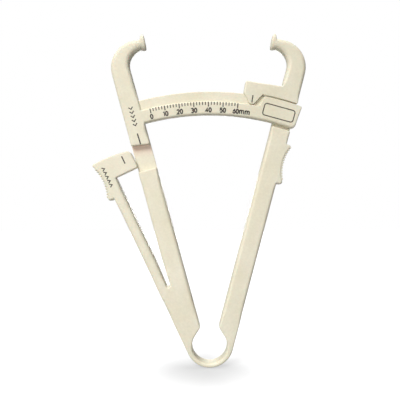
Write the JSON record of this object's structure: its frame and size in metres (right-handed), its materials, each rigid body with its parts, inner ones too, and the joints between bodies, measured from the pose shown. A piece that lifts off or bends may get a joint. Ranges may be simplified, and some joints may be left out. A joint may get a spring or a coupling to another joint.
{
  "type": "skinfold caliper",
  "caption": "Flat plastic skinfold caliper: hooked arms on a sprung ring, curved millimetre scale, pointer and press lever.",
  "frame": {"origin": "on the arms' hinge axis, in the middle of the ring's lowest wall, at the back face", "axes": "+Y along the centre line to the jaws, +Z out of the scale face, +X towards the arm with the pointer; the caliper lies on its back face"},
  "size_m": [0.1176, 0.182, 0.0063],
  "materials": {
    "moulding": "warm ivory injection moulding, satin gloss, edges rounded",
    "print": "dark brown-black pad print"
  },
  "bodies": {
    "fixed_arm": {"left_arm": "moulding", "left_jaw": "moulding", "left_contact_pad": "moulding", "scale_rail": "moulding", "pointer_track": "moulding", "guide_bridge": "moulding", "spring_hinge": "moulding", "lever_flexure": "moulding", "scale_ticks": "print", "align_mark": "print", "bridge_border": "print"},
    "moving_arm": {"right_arm": "moulding", "right_jaw": "moulding", "right_contact_pad": "moulding", "pointer_flag": "moulding", "pointer_mark": "print", "finger_rest": "moulding"},
    "press_lever": {"press_beam": "moulding", "press_head": "moulding", "thumb_rest": "moulding", "press_mark": "print"}
  },
  "joints": [
    {"name": "jaw_close", "type": "hinge", "parent": "fixed_arm", "child": "moving_arm", "pos_m": [0, 0, 0], "axis": [0, 0, 1], "range_deg": [0, 22.16], "stiffness_Nm_per_rad": 0.4, "deforming": ["spring_hinge"]},
    {"name": "lever_press", "type": "hinge", "parent": "fixed_arm", "child": "press_lever", "pos_m": [-0.02944, 0.05047, 0], "axis": [0, 0, -1], "range_deg": [0, 10.2], "stiffness_Nm_per_rad": 2.4, "deforming": ["lever_flexure"]}
  ]
}
